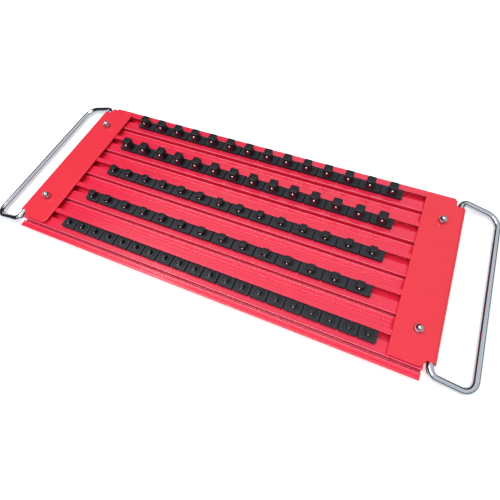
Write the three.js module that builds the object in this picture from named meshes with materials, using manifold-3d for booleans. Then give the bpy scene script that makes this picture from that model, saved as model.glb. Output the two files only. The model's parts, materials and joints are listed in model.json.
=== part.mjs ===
// Socket tray: five extruded rails side by side, clamped between folded end plates and
// cross bars, with rows of sliding twist-lock clips and a wire bail handle at each end.
// Millimetres. +X runs along the rails, +Y to the rear row, +Z up, and the tray stands on z = 0.
import * as THREE from 'three';
import { mergeVertices } from 'three/addons/utils/BufferGeometryUtils.js';
import Module from 'manifold-3d';

const wasm = await Module();
wasm.setup();

// Clearances
const gap = 0.3;
const overrun = 1;

// Rail extrusion, as the distance from the rail's middle line and the height above the table
const railCount = 5;
const railPitch = 54;
const railLength = 581.8;
const wall = 2;
const flangeThickness = 2.5;
const ledgeHeight = 15.8;
const lipHeight = 24;
const lipWidth = 7.6;
const trackHeight = 20.3;
const trackWidth = 16.8;
const slotWidth = 8.15;
const slotUndercut = 3;
const slotFloorHeight = 12.4;
const rearWallOffset = 16.75;
const frontLegInset = 6.45;
const footWidth = 4;
const footHeight = 1.6;
const edgeBevel = 0.4;

// Ribs and grooves drawn along the rail
const grooveWidth = 3;
const grooveDepth = 1.3;
const ridgeWidth = 1.5;
const ridgeHeight = 0.8;
const beadWidth = 0.8;
const beadHeight = 0.6;
const beadInset = 0.85;
const scoreWidth = 0.6;
const scoreDepth = 0.5;
const ledgeRound = 1.2;

// End plates, the same part at both ends, turned half round
const plateThickness = 1.4;
const plateLap = 41.5;
const plateSideInset = 12.3;
const plateCorner = 3;
const plateOuterCorner = 9;
const plateLargeCorner = 8;
const curlRoom = 0.65;
const curlEndInset = 9.5;
const curlSweep = THREE.MathUtils.degToRad(290);

// Wire bail handles
const rodDiameter = 9;
const handleReach = 56.24;
const handleOffset = 1.6;
const handleOverhang = 14.4;
const handleInsert = 30;
const gripCorner = 18;
const hingeCorner = 10;

// Clamping hardware: a bar under the rails, countersunk screws from below, dome nuts on top
const screwInset = 15;
const screwDiameter = 6;
const screwHeadDiameter = 11.4;
const screwHeadHeight = 2.7;
const socketFlats = 4;
const socketDepth = 1.6;
const barWidth = 16;
const barThickness = 4;
const barOverhang = 19;
const nutFlats = 10;
const nutHexHeight = 5;
const nutHeight = 10;
const nutBoreDepth = 7.4;

// Clip blocks, which ride on the track with a foot under both lips of the slot
const blockFront = 7.75;
const blockHeight = 5.1;
const blockCorner = 1.5;
const footFlange = 2.4;
const footEndInset = 3;
const seamWidth = 1.4;
const seamDepth = 3.6;
const rearSlopeWidth = 2.6;
const rearSlopeHeight = 1.6;

// Turning posts of the half inch clips, with a journal and a retaining flange in the block
const journalDiameter = 9;
const journalFlangeDiameter = 10.2;
const journalFlangeThickness = 1.6;

// Clip rows from the rear to the front. The clips share out the room between the end plates,
// apart from a free length for sliding, of which some lies at the right end. In two rows the
// leftmost clip has the narrow block of the quarter inch row.
const halfInch = { square: 12.7, count: 14, free: 54.3, centre: -1.4, height: 14.9, ball: 3.8, ballHeight: 8.7 };
const threeEighths = { square: 9.525, count: 14, free: 54.3, centre: 0.9, height: 8.4, ball: 3, ballHeight: 2.8 };
const quarterInch = { square: 6.35, count: 20, free: 38.8, centre: 0.5, height: 6.5, ball: 2, ballHeight: 2.6 };
const rows = [
  { drive: halfInch, freeRight: 30.285, turning: true, narrowFirst: false },
  { drive: halfInch, freeRight: 31.985, turning: true, narrowFirst: false },
  { drive: threeEighths, freeRight: 31.185, turning: false, narrowFirst: true },
  { drive: threeEighths, freeRight: 33.385, turning: false, narrowFirst: true },
  { drive: quarterInch, freeRight: 13.16, turning: false, narrowFirst: false },
];
const collarDiameter = 14.6;
const collarHeight = 0.8;
const postBevelShare = 0.08;
const ballStandShare = 0.36;

// Facets
const rodSides = 12;
const bendSteps = 4;
const hardwareSides = 8;
const cornerSteps = 1;
const plateSteps = 3;
const curlSteps = 10;

// Places worked out from the sizes above
const railHalf = (railPitch - gap) / 2;
const railEnd = railLength / 2;
const frontLegOffset = railHalf - frontLegInset;
const lipFront = rearWallOffset - lipWidth;
const slotFront = lipFront - slotWidth;
const trackFront = slotFront - trackWidth;
const plateBottom = lipHeight + gap;
const plateTop = plateBottom + plateThickness;
const plateInner = railEnd - plateLap;
const plateHalfWidth = railCount * railPitch / 2 - plateSideInset;
const curlHalfLength = plateHalfWidth - curlEndInset;
const curlInnerRadius = rodDiameter / 2 + gap;
const curlOuterRadius = curlInnerRadius + plateThickness;
const curlAxisX = railEnd + curlRoom + curlOuterRadius;
const curlAxisZ = plateTop - curlOuterRadius;
const handleHalfSpan = curlHalfLength + handleOverhang;
const handleDroop = Math.asin((curlAxisZ - rodDiameter / 2) / handleReach);
const blockBottom = trackHeight + gap;
const blockTop = blockBottom + blockHeight;
const blockRear = lipFront - gap;
const footHalfWidth = footWidth / 2;
const screwX = railEnd - screwInset;
const screwY = railPitch * (railCount / 2 - 1);
const holeRadius = screwDiameter / 2 + gap;

const colours = {
  red: new THREE.MeshStandardMaterial({ color: 0xd8262f, roughness: 0.35, metalness: 0.25 }),
  plate: new THREE.MeshStandardMaterial({ color: 0xe8323c, roughness: 0.32, metalness: 0.15 }),
  chrome: new THREE.MeshStandardMaterial({ color: 0xd9dce0, roughness: 0.12, metalness: 1 }),
  steel: new THREE.MeshStandardMaterial({ color: 0xb9bcc0, roughness: 0.3, metalness: 1 }),
  clip: new THREE.MeshStandardMaterial({ color: 0x20282b, roughness: 0.5, metalness: 0 }),
  post: new THREE.MeshStandardMaterial({ color: 0x181e21, roughness: 0.45, metalness: 0 }),
};

const tray = new THREE.Group();
tray.name = 'socket_tray';

// A closed three.js geometry as a manifold solid
function solid(geometry) {
  geometry.deleteAttribute('normal');
  geometry.deleteAttribute('uv');
  const merged = mergeVertices(geometry);
  return new wasm.Manifold(new wasm.Mesh({
    numProp: 3,
    vertProperties: new Float32Array(merged.attributes.position.array),
    triVerts: new Uint32Array(merged.index.array),
  }));
}

function union(solids) {
  return solids.reduce((whole, piece) => whole.add(piece));
}

// Adds a named mesh to the tray, turned half round for the left end
function place(name, shape, material, atLeft = false) {
  const mesh = shape.getMesh();
  const geometry = new THREE.BufferGeometry();
  geometry.setAttribute('position', new THREE.BufferAttribute(mesh.vertProperties, mesh.numProp));
  geometry.setIndex(new THREE.BufferAttribute(mesh.triVerts, 1));
  geometry.computeVertexNormals();
  const part = new THREE.Mesh(geometry, material);
  part.name = name;
  part.rotation.z = atLeft ? Math.PI : 0;
  tray.add(part);
}

function box(x0, x1, y0, y1, z0, z1) {
  const geometry = new THREE.BoxGeometry(x1 - x0, y1 - y0, z1 - z0);
  geometry.translate((x0 + x1) / 2, (y0 + y1) / 2, (z0 + z1) / 2);
  return solid(geometry);
}

function outline(points) {
  return new THREE.Shape(points.map(([a, b]) => new THREE.Vector2(a, b)));
}

function polygon(sides, radius, x, y) {
  return outline(Array.from({ length: sides }, (_, corner) => {
    const angle = corner / sides * 2 * Math.PI;
    return [x + radius * Math.cos(angle), y + radius * Math.sin(angle)];
  }));
}

function hexagon(flats, x, y) {
  return polygon(6, flats / Math.sqrt(3), x, y);
}

function extruded(shape, depth, curveSegments) {
  return new THREE.ExtrudeGeometry(shape, { depth, bevelEnabled: false, curveSegments });
}

// A section in Y and Z, drawn out along X
function alongX(shape, x0, x1, steps = cornerSteps) {
  const geometry = extruded(shape, x1 - x0, steps);
  geometry.applyMatrix4(new THREE.Matrix4().set(0, 0, 1, x0, 1, 0, 0, 0, 0, 1, 0, 0, 0, 0, 0, 1));
  return solid(geometry);
}

// A section in X and Z, drawn out along Y
function alongY(shape, y0, y1, steps = cornerSteps) {
  const geometry = extruded(shape, y1 - y0, steps);
  geometry.rotateX(Math.PI / 2);
  geometry.translate(0, y1, 0);
  return solid(geometry);
}

// A plan in X and Y, drawn up along Z
function alongZ(shape, z0, z1, steps = cornerSteps) {
  const geometry = extruded(shape, z1 - z0, steps);
  geometry.translate(0, 0, z0);
  return solid(geometry);
}

// A solid turned about a vertical axis, from pairs of radius and height
function turned(points, x, y, sides) {
  const geometry = new THREE.LatheGeometry(points.map(([r, z]) => new THREE.Vector2(r, z)), sides);
  geometry.rotateX(Math.PI / 2);
  geometry.translate(x, y, 0);
  return solid(geometry);
}

function disc(radius, x, y, z0, z1, sides) {
  return turned([[0, z0], [radius, z0], [radius, z1], [0, z1]], x, y, sides);
}

function railCentre(index) {
  return railPitch * ((railCount - 1) / 2 - index);
}

// The rail's section about its own middle line, counter-clockwise from the foot of the rear wall
function railSection() {
  const wallIn = rearWallOffset - wall;
  const rearLeg = rearWallOffset - wall / 2;
  const ledgeUnder = ledgeHeight - flangeThickness;
  const webRear = slotFront - slotUndercut;
  const webFront = webRear - wall;
  const riserRear = trackFront + wall;
  const grooveFloor = ledgeHeight - grooveDepth;
  const ridgeRear = trackFront - grooveWidth;
  const ridgeFront = ridgeRear - ridgeWidth;
  const ridgeTop = ledgeHeight + ridgeHeight;
  const score = (ridgeFront + ledgeRound - railHalf) / 2;
  const bead = trackFront + beadInset;
  const legOut = -frontLegOffset - wall / 2;
  const legIn = -frontLegOffset + wall / 2;
  const shape = outline([
    [rearLeg + footHalfWidth, 0],
    [rearLeg + footHalfWidth, footHeight],
    [rearWallOffset, footHeight],
    [rearWallOffset, ledgeUnder],
    [railHalf, ledgeUnder],
    [railHalf, ledgeHeight],
    [rearWallOffset, ledgeHeight],
    [rearWallOffset, lipHeight - edgeBevel],
    [rearWallOffset - edgeBevel, lipHeight],
    [lipFront + edgeBevel, lipHeight],
    [lipFront, lipHeight - edgeBevel],
    [lipFront, lipHeight - wall],
    [wallIn, lipHeight - wall],
    [wallIn, slotFloorHeight],
    [webRear, slotFloorHeight],
    [webRear, trackHeight - wall],
    [slotFront, trackHeight - wall],
    [slotFront, trackHeight - edgeBevel],
    [slotFront - edgeBevel, trackHeight],
    [bead + beadWidth / 2, trackHeight],
    [bead + beadWidth / 4, trackHeight + beadHeight],
    [bead - beadWidth / 4, trackHeight + beadHeight],
    [bead - beadWidth / 2, trackHeight],
    [trackFront, trackHeight - edgeBevel],
    [trackFront, grooveFloor],
    [ridgeRear, grooveFloor],
    [ridgeRear, ridgeTop],
    [ridgeFront + ridgeWidth / 3, ridgeTop],
    [ridgeFront, ledgeHeight],
    [score + scoreWidth / 2, ledgeHeight],
    [score, ledgeHeight - scoreDepth],
    [score - scoreWidth / 2, ledgeHeight],
  ]);
  shape.absarc(ledgeRound - railHalf, ledgeHeight - ledgeRound, ledgeRound, Math.PI / 2, Math.PI, false);
  [
    [-railHalf, ledgeUnder],
    [legOut, ledgeUnder],
    [legOut, footHeight],
    [-frontLegOffset - footHalfWidth, footHeight],
    [-frontLegOffset - footHalfWidth, 0],
    [-frontLegOffset + footHalfWidth, 0],
    [-frontLegOffset + footHalfWidth, footHeight],
    [legIn, footHeight],
    [legIn, grooveFloor - wall],
    [riserRear, grooveFloor - wall],
    [riserRear, trackHeight - wall],
    [webFront, trackHeight - wall],
    [webFront, slotFloorHeight - wall],
    [wallIn, slotFloorHeight - wall],
    [wallIn, footHeight],
    [rearLeg - footHalfWidth, footHeight],
    [rearLeg - footHalfWidth, 0],
  ].forEach(([s, z]) => shape.lineTo(s, z));
  return shape;
}

// The four screws stand on the outermost two seams between rails
function screwPlaces() {
  return [[screwX, screwY], [-screwX, screwY], [-screwX, -screwY], [screwX, -screwY]];
}

// A rail is notched for the cross bars, and half round where a screw passes its edge
function makeRail(section, index) {
  const y = railCentre(index);
  const notchHalf = barWidth / 2 + gap;
  const ledgeCut = [ledgeHeight - flangeThickness - overrun, ledgeHeight + overrun];
  let rail = alongX(section, -railEnd, railEnd);
  rail = rail.translate([0, y, 0]);
  for (const side of [-1, 1]) {
    const x = side * screwX;
    rail = rail.subtract(box(x - notchHalf, x + notchHalf, y - railHalf, y + railHalf, -overrun, barThickness + gap));
  }
  for (const [x, seam] of screwPlaces()) {
    if (Math.abs(seam - y) < railPitch) {
      rail = rail.subtract(disc(holeRadius, x, seam, ...ledgeCut, hardwareSides));
    }
  }
  return rail;
}

// Folded sheet: a flat plate with its outer edge rolled round the handle's rod
function makeEndPlate() {
  const plan = new THREE.Shape();
  const front = -plateHalfWidth;
  const rear = plateHalfWidth;
  const quarter = Math.PI / 2;
  plan.absarc(plateInner + plateCorner, front + plateCorner, plateCorner, -2 * quarter, -quarter, false);
  plan.absarc(railEnd - plateOuterCorner, front + plateOuterCorner, plateOuterCorner, -quarter, 0, false);
  plan.absarc(railEnd - plateOuterCorner, rear - plateOuterCorner, plateOuterCorner, 0, quarter, false);
  plan.absarc(plateInner + plateLargeCorner, rear - plateLargeCorner, plateLargeCorner, quarter, 2 * quarter, false);
  const curl = new THREE.Shape();
  curl.moveTo(railEnd - plateOuterCorner, plateBottom);
  curl.lineTo(railEnd - plateOuterCorner, plateTop);
  curl.absarc(curlAxisX, curlAxisZ, curlOuterRadius, quarter, quarter - curlSweep, true);
  curl.absarc(curlAxisX, curlAxisZ, curlInnerRadius, quarter - curlSweep, quarter, false);
  const rolled = alongY(curl, -curlHalfLength, curlHalfLength, curlSteps);
  let plate = alongZ(plan, plateBottom, plateTop, plateSteps).add(rolled);
  for (const [x, y] of screwPlaces().filter(([place]) => place > 0)) {
    plate = plate.subtract(disc(holeRadius, x, y, plateBottom - overrun, plateTop + overrun, hardwareSides));
  }
  return plate;
}

// A path through chosen stations, so that straight stretches need no rings of their own
class StationPath extends THREE.Curve {
  constructor(stations) {
    super();
    this.stations = stations;
  }

  getUtoTmapping(share) {
    return share;
  }

  getPoint(share, target = new THREE.Vector3()) {
    const last = this.stations.length - 1;
    const place = Math.min(Math.max(share, 0), 1) * last;
    const index = Math.min(Math.floor(place), last - 1);
    return target.lerpVectors(this.stations[index], this.stations[index + 1], place - index);
  }
}

// Stations of the bail: into the curl, out along the arm, across the grip and back again
function bailStations() {
  const along = new THREE.Vector3(Math.cos(handleDroop), 0, -Math.sin(handleDroop));
  const stations = [];
  const station = (reach, y) => {
    stations.push(new THREE.Vector3(curlAxisX, y + handleOffset, curlAxisZ).addScaledVector(along, reach));
  };
  const bend = (reach, y, radius, from, sweep) => {
    for (let step = 0; step <= bendSteps; step += 1) {
      const angle = from + sweep * (step / bendSteps);
      station(reach + radius * Math.cos(angle), y + radius * Math.sin(angle));
    }
  };
  const quarter = Math.PI / 2;
  const bendY = handleHalfSpan - hingeCorner;
  const gripY = handleHalfSpan - gripCorner;
  const end = curlHalfLength - handleInsert;
  station(0, end);
  bend(hingeCorner, bendY, hingeCorner, 2 * quarter, -quarter);
  bend(handleReach - gripCorner, gripY, gripCorner, quarter, -quarter);
  bend(handleReach - gripCorner, -gripY, gripCorner, 0, -quarter);
  bend(hingeCorner, -bendY, hingeCorner, -quarter, -quarter);
  station(0, -end);
  return stations;
}

function makeHandle() {
  const stations = bailStations();
  return solid(new THREE.ExtrudeGeometry(polygon(rodSides, rodDiameter / 2, 0, 0), {
    steps: stations.length - 1,
    extrudePath: new StationPath(stations),
  }));
}

// Countersunk screw with a hexagon socket in its head
function makeScrew(x, y) {
  const shank = screwDiameter / 2;
  const head = screwHeadDiameter / 2;
  const top = plateTop + nutBoreDepth;
  const neck = gap + screwHeadHeight;
  const body = turned([[0, gap], [head, gap], [shank, neck], [shank, top], [0, top]], x, y, hardwareSides);
  return body.subtract(alongZ(hexagon(socketFlats, x, y), gap - overrun, gap + socketDepth));
}

// Dome nut: a hexagon under a blind dome
function makeDomeNut(x, y) {
  const bottom = plateTop + gap;
  const radius = nutFlats / 2;
  const shoulder = bottom + nutHexHeight;
  const rise = nutHeight - nutHexHeight;
  const profile = [[0, shoulder - overrun], [radius, shoulder - overrun]];
  for (let step = 0; step < bendSteps; step += 1) {
    const angle = step / bendSteps * Math.PI / 2;
    profile.push([radius * Math.cos(angle), shoulder + rise * Math.sin(angle)]);
  }
  profile.push([0, shoulder + rise]);
  const bore = disc(holeRadius, x, y, bottom - overrun, bottom + nutBoreDepth, hardwareSides);
  const hexagonal = alongZ(hexagon(nutFlats, x, y), bottom, shoulder);
  return hexagonal.add(turned(profile, x, y, rodSides)).subtract(bore);
}

// Cross bar under the rails, countersunk for two screws
function makeBar(side) {
  const x = side * screwX;
  const end = screwY + barOverhang;
  let bar = box(x - barWidth / 2, x + barWidth / 2, -end, end, 0, barThickness);
  for (const [, y] of screwPlaces().filter(([place]) => place * side > 0)) {
    const slope = (screwHeadDiameter - screwDiameter) / 2 / screwHeadHeight;
    const neck = gap + screwHeadHeight;
    bar = bar.subtract(turned([
      [0, -overrun],
      [holeRadius + slope * (neck + overrun), -overrun],
      [holeRadius, neck],
      [holeRadius, barThickness + overrun],
      [0, barThickness + overrun],
    ], x, y, hardwareSides));
  }
  return bar;
}

// Plan of a run of clips, front corners rounded, on the rail with its middle line at y
function clipPlan(clips, y) {
  const shape = new THREE.Shape();
  const front = y - blockFront;
  const cornerY = front + blockCorner;
  shape.moveTo(clips[clips.length - 1].right, y + blockRear);
  shape.lineTo(clips[0].left, y + blockRear);
  for (const { left, right } of clips) {
    shape.absarc(left + blockCorner, cornerY, blockCorner, Math.PI, 1.5 * Math.PI, false);
    shape.absarc(right - blockCorner, cornerY, blockCorner, -Math.PI / 2, 0, false);
  }
  return shape;
}

// What the top of a run of clips loses where it slopes down to the rear lip
function rearSlope(x0, x1, y) {
  const rise = overrun * (rearSlopeHeight / rearSlopeWidth);
  return alongX(outline([
    [y + blockRear - rearSlopeWidth, blockTop],
    [y + blockRear + overrun, blockTop - rearSlopeHeight - rise],
    [y + blockRear + overrun, blockTop + overrun],
    [y + blockRear - rearSlopeWidth, blockTop + overrun],
  ]), x0 - overrun, x1 + overrun);
}

// Foot of a run of clips: a neck in the slot, one flange under the track and one under the lip
function clipFoot(x0, x1, y) {
  const neckFront = slotFront + gap;
  const trackFlangeTop = trackHeight - wall - gap;
  const trackFlangeBottom = trackFlangeTop - footFlange;
  const lipFlangeTop = lipHeight - wall - gap;
  const lipFlangeBottom = lipFlangeTop - footFlange;
  const flangeFront = slotFront - slotUndercut + gap;
  const flangeRear = rearWallOffset - wall - gap;
  const intoBlock = blockBottom + overrun;
  const section = outline([
    [y + flangeFront, trackFlangeBottom],
    [y + blockRear, trackFlangeBottom],
    [y + blockRear, lipFlangeBottom],
    [y + flangeRear, lipFlangeBottom],
    [y + flangeRear, lipFlangeTop],
    [y + blockRear - gap, lipFlangeTop],
    [y + neckFront, intoBlock],
    [y + neckFront, trackFlangeTop],
    [y + flangeFront, trackFlangeTop],
  ]);
  return alongX(section, x0 + footEndInset, x1 - footEndInset);
}

// Square drive post with a bevelled top and the ball of its detent on the front face
function drivePost(drive, x, y, bottom) {
  const top = blockTop + drive.height;
  const bevel = drive.square * postBevelShare;
  const half = drive.square / 2;
  const corner = Math.SQRT2;
  const square = new THREE.LatheGeometry([
    new THREE.Vector2(0, bottom),
    new THREE.Vector2(half * corner, bottom),
    new THREE.Vector2(half * corner, top - bevel),
    new THREE.Vector2((half - bevel) * corner, top),
    new THREE.Vector2(0, top),
  ], 4);
  square.rotateX(Math.PI / 2);
  square.rotateZ(Math.PI / 4);
  square.translate(x, y, 0);
  const ball = new THREE.IcosahedronGeometry(drive.ball / 2);
  ball.translate(x, y - half + drive.ball * (1 / 2 - ballStandShare), blockTop + drive.ballHeight);
  return solid(square).add(solid(ball));
}

// Post that turns in its block, held down by the flange on its journal
function turningPost(drive, x, y) {
  const shoulder = blockTop + gap;
  const bottom = blockBottom + gap;
  const flangeTop = bottom + journalFlangeThickness;
  const journal = turned([
    [0, bottom],
    [journalFlangeDiameter / 2, bottom],
    [journalFlangeDiameter / 2, flangeTop],
    [journalDiameter / 2, flangeTop],
    [journalDiameter / 2, shoulder + overrun],
    [0, shoulder + overrun],
  ], x, y, hardwareSides);
  return drivePost(drive, x, y, shoulder).add(journal);
}

// Stepped bore in the block for a turning post
function journalBore(x, y) {
  const overFlats = 1 / Math.cos(Math.PI / hardwareSides);
  const wide = (journalFlangeDiameter / 2 + gap) * overFlats;
  const narrow = (journalDiameter / 2 + gap) * overFlats;
  const step = blockBottom + gap + journalFlangeThickness + gap;
  return turned([
    [0, blockBottom - overrun],
    [wide, blockBottom - overrun],
    [wide, step],
    [narrow, step],
    [narrow, blockTop + overrun],
    [0, blockTop + overrun],
  ], x, y, hardwareSides);
}

function clipPitch(drive) {
  return (2 * plateInner - drive.free) / drive.count;
}

// The clips of a row from left to right, as the middle and both ends of each
function rowClips({ drive, freeRight, narrowFirst }) {
  const pitch = clipPitch(drive);
  const start = plateInner - freeRight - pitch * drive.count;
  return Array.from({ length: drive.count }, (_, index) => {
    const right = start + pitch * (index + 1);
    const left = right - (narrowFirst && index === 0 ? clipPitch(quarterInch) : pitch);
    return { left, right, x: (left + right) / 2 };
  });
}

// Clips that slide together, because they abut, and the grooves between them
function makeClips({ drive, turning }, run, y) {
  const postY = y + drive.centre;
  const x0 = run[0].left;
  const x1 = run[run.length - 1].right;
  const pieces = [
    alongZ(clipPlan(run, y), blockBottom, blockTop).subtract(rearSlope(x0, x1, y)),
    clipFoot(x0, x1, y),
  ];
  for (const { x } of turning ? [] : run) {
    pieces.push(disc(collarDiameter / 2, x, postY, blockTop - overrun, blockTop + collarHeight, hardwareSides));
    pieces.push(drivePost(drive, x, postY, blockTop - overrun));
  }
  let clips = union(pieces);
  for (const { left: seam } of run.slice(1)) {
    clips = clips.subtract(alongY(outline([
      [seam, blockTop - seamDepth],
      [seam + seamWidth / 2, blockTop - seamDepth / 2],
      [seam + seamWidth / 2, blockTop + overrun],
      [seam - seamWidth / 2, blockTop + overrun],
      [seam - seamWidth / 2, blockTop - seamDepth / 2],
    ]), y - blockFront - overrun, y + blockRear + overrun));
  }
  for (const { x } of turning ? run : []) {
    clips = clips.subtract(journalBore(x, postY));
  }
  return clips;
}

// One row: a left and a right run of clips, half a clearance either side of the middle seam
function placeRow(row, index) {
  const y = railCentre(index);
  const label = `row_${index + 1}`;
  const clips = rowClips(row);
  const middle = clips.length / 2;
  const seam = clips[middle].left;
  const cut = box(seam - gap / 2, seam + gap / 2, y - railHalf, y + railHalf, 0, blockTop + overrun);
  place(`${label}_clips_left`, makeClips(row, clips.slice(0, middle), y).subtract(cut), colours.clip);
  place(`${label}_clips_right`, makeClips(row, clips.slice(middle), y).subtract(cut), colours.clip);
  if (row.turning) {
    clips.forEach(({ x }, clip) => {
      const name = `${label}_post_${String(clip + 1).padStart(2, '0')}`;
      place(name, turningPost(row.drive, x, y + row.drive.centre), colours.post);
    });
  }
}

const section = railSection();
for (let index = 0; index < railCount; index += 1) {
  place(`rail_${index + 1}`, makeRail(section, index), colours.red);
}
const endPlate = makeEndPlate();
const handle = makeHandle();
for (const [side, isLeft] of [['right', false], ['left', true]]) {
  place(`end_plate_${side}`, endPlate, colours.plate, isLeft);
  place(`handle_${side}`, handle, colours.chrome, isLeft);
  place(`clamp_bar_${side}`, makeBar(1), colours.steel, isLeft);
}
const corners = ['right_rear', 'left_rear', 'left_front', 'right_front'];
screwPlaces().forEach(([x, y], corner) => {
  place(`screw_${corners[corner]}`, makeScrew(x, y), colours.steel);
  place(`dome_nut_${corners[corner]}`, makeDomeNut(x, y), colours.chrome);
});
rows.forEach(placeRow);

export default tray;
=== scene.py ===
"""Looks of a socket tray: finishes, rolled and rounded forms and the stage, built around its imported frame."""
import json
import math

import bmesh
import bpy
import numpy as np
from mathutils import Matrix, Vector


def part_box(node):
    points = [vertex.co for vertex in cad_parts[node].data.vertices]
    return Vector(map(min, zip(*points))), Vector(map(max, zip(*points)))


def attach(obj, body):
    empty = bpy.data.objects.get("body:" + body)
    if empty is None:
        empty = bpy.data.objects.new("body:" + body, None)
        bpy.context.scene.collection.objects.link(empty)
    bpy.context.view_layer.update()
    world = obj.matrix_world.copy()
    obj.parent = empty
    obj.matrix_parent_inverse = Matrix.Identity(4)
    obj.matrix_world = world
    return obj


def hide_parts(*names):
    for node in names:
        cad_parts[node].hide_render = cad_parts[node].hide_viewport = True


bl_info = {
    "name": "Socket Tray Looks",
    "version": (1, 0, 0),
    "blender": (4, 5, 0),
    "location": "3D View > Sidebar > Socket Tray",
    "description": "Dresses the packed frame of a socket tray with its finishes and fine shapes",
    "category": "Object",
}

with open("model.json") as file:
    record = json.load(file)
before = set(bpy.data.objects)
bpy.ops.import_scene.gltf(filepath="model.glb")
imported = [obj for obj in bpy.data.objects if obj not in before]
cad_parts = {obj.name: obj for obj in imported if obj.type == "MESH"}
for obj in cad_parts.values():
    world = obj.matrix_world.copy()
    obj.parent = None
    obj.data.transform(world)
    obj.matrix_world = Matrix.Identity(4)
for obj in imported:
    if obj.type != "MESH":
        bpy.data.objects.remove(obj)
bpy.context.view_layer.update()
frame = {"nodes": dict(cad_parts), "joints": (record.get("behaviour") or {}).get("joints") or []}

# The ends, the count of rows, and the half turn that carries the right end's pieces to the left
ENDS = ("right", "left")
ROW_COUNT = 5
HALF_TURN = np.array([-1.0, -1.0, 1.0])

# Place and size of the lamp, which looks at the tray
LAMP_PLACE = (-0.35, -0.45, 1.9)
LAMP_SIZE = (2.4, 0.7)
# The dark screen that only gloss sees: its radius, its mean height, how much higher it is towards its
# heading, which is in degrees, and its colour
SCREEN_RADIUS = 2.2
SCREEN_HEIGHT = 1.5
SCREEN_RISE = 0.9
SCREEN_HEADING = 165
SCREEN_GREY = (0.05, 0.055, 0.06)
# Half the floor's side, its height, its paint, and the glow that only the camera, gloss and glass see
FLOOR_HALF = 4
FLOOR_LEVEL = -0.0002
FLOOR_WHITE = (0.93, 0.93, 0.93)
FLOOR_GLOW = 0.45
# The photograph's camera: its place, and where its own X, Y and Z point
CAMERA_PLACE = (0.17543, -0.26975, 0.45595)
CAMERA_AXES = (
    (0.91567, 0.39656, -0.06550),
    (-0.31515, 0.80951, 0.49535),
    (0.24945, -0.43293, 0.86622),
)

# The posts' share of the clips' colour, the balls' steel, the share of the rails' red that is left in their
# groove as painted shade, the lighter red painted on its rounded edges as a highlight, and the products of Y
# and Z of a normal where that painted highlight begins and where it is full
POST_SHADE = 0.6
BALL_STEEL = (0.8, 0.8, 0.82)
GROOVE_PAINTED_SHADE = 0.5
EDGE_PAINTED_HIGHLIGHT = (1.0, 0.26, 0.42)
PAINTED_HIGHLIGHT_FACING = (-0.05, -0.4)

# Height of the clips' underside, the blocks' rear face from the rail's middle, the share of a ball that is in
# its post, and the least share of a block's corner that its rounded top and base keep
TRACK = 0.0206
BLOCK_REAR = 0.00875
BALL_SUNK = 0.14
LEAST_CORNER = 0.15
# How far a ring's disc reaches into its block, how far turning posts stand above theirs, how far a run's base
# and foot stop short of its ends, and the rounding of what is mostly hidden
COLLAR_SUNK = 0.001
POST_GAP = 0.0003
BASE_INSET = 0.0002
FOOT_INSET = 0.003
HIDDEN_EDGE = 0.0002

# A clip's foot, as distance from the rail's middle and height, and a post's journal, as radius and height
FOOT_SECTION = [
    (-0.0018, 0.0156), (BLOCK_REAR, 0.0156), (BLOCK_REAR, 0.0193), (0.01445, 0.0193), (0.01445, 0.0217),
    (0.0084, 0.0217), (0.0013, 0.0212), (0.0013, 0.018), (-0.0018, 0.018),
]
JOURNAL = [
    (0, -0.0048), (0.0051, -0.0048), (0.0051, -0.0032), (0.0045, -0.0032), (0.0045, 0.0004), (0, 0.0004),
]

# The square of a row's posts, their middle across the rail, and the ball's diameter and height on the block
HALF_INCH_POST = (0.0127, -0.0014, 0.0038, 0.0087)
THREE_EIGHTHS_POST = (0.009525, 0.0009, 0.003, 0.0028)
QUARTER_INCH_POST = (0.00635, 0.0005, 0.002, 0.0026)
ROW_POSTS = {
    1: HALF_INCH_POST,
    2: HALF_INCH_POST,
    3: THREE_EIGHTHS_POST,
    4: THREE_EIGHTHS_POST,
    5: QUARTER_INCH_POST,
}

# Across a rail from its middle, and up from the table: its walls, legs and feet below the drawn edges
RAIL_PITCH = 0.054
RAIL_REAR_WALL = 0.01675
RAIL_LIP_FRONT = 0.00915
RAIL_SLOT_FRONT = 0.001
RAIL_TRACK_FRONT = -0.0158
RAIL_WEB_REAR = -0.002
RAIL_FRONT_LEG = -0.0204
RAIL_LIP_TOP = 0.024
RAIL_TRACK_TOP = 0.0203
RAIL_LEDGE_TOP = 0.0158
RAIL_SLOT_FLOOR = 0.0124
RAIL_WALL = 0.002
RAIL_LEDGE_THICKNESS = 0.0025
RAIL_FOOT_HALF = 0.002
RAIL_FOOT_HEIGHT = 0.0016
NOTCH_CLEARANCE = 0.0003
SCREW_HOLE = 0.0033
# The long edge of each rail that has screws in it, from the rear rail on: -1 the front, 1 the rear, 0 neither
SCREW_EDGES = (-1, 1, 0, -1, 1)

# Points along the plates' flat and roll, steps of the rails' rounded corners and of half a screw hole
PLATE_ROWS = 121
PLATE_COLUMNS = 24
ROLL_POINTS = 49
NECK_POINTS = 4
RAIL_CORNER_STEPS = 5
HOLE_STEPS = 12
# Distances in metres that count as none, on the rails and elsewhere, and the factor that takes a place just
# beyond another
CLOSE = 1e-7
TOUCH = 1e-6
JUST_BEYOND = 1 + 1e-6


# Sizes and colours that a user would change

def length_property(name, about, value):
    return bpy.props.FloatProperty(name=name, description=about, default=value, unit="LENGTH")


def number_property(name, about, value):
    return bpy.props.FloatProperty(name=name, description=about, default=value)


def colour_property(name, about, value):
    return bpy.props.FloatVectorProperty(name=name, description=about, default=value, subtype="COLOR", size=3)


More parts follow.
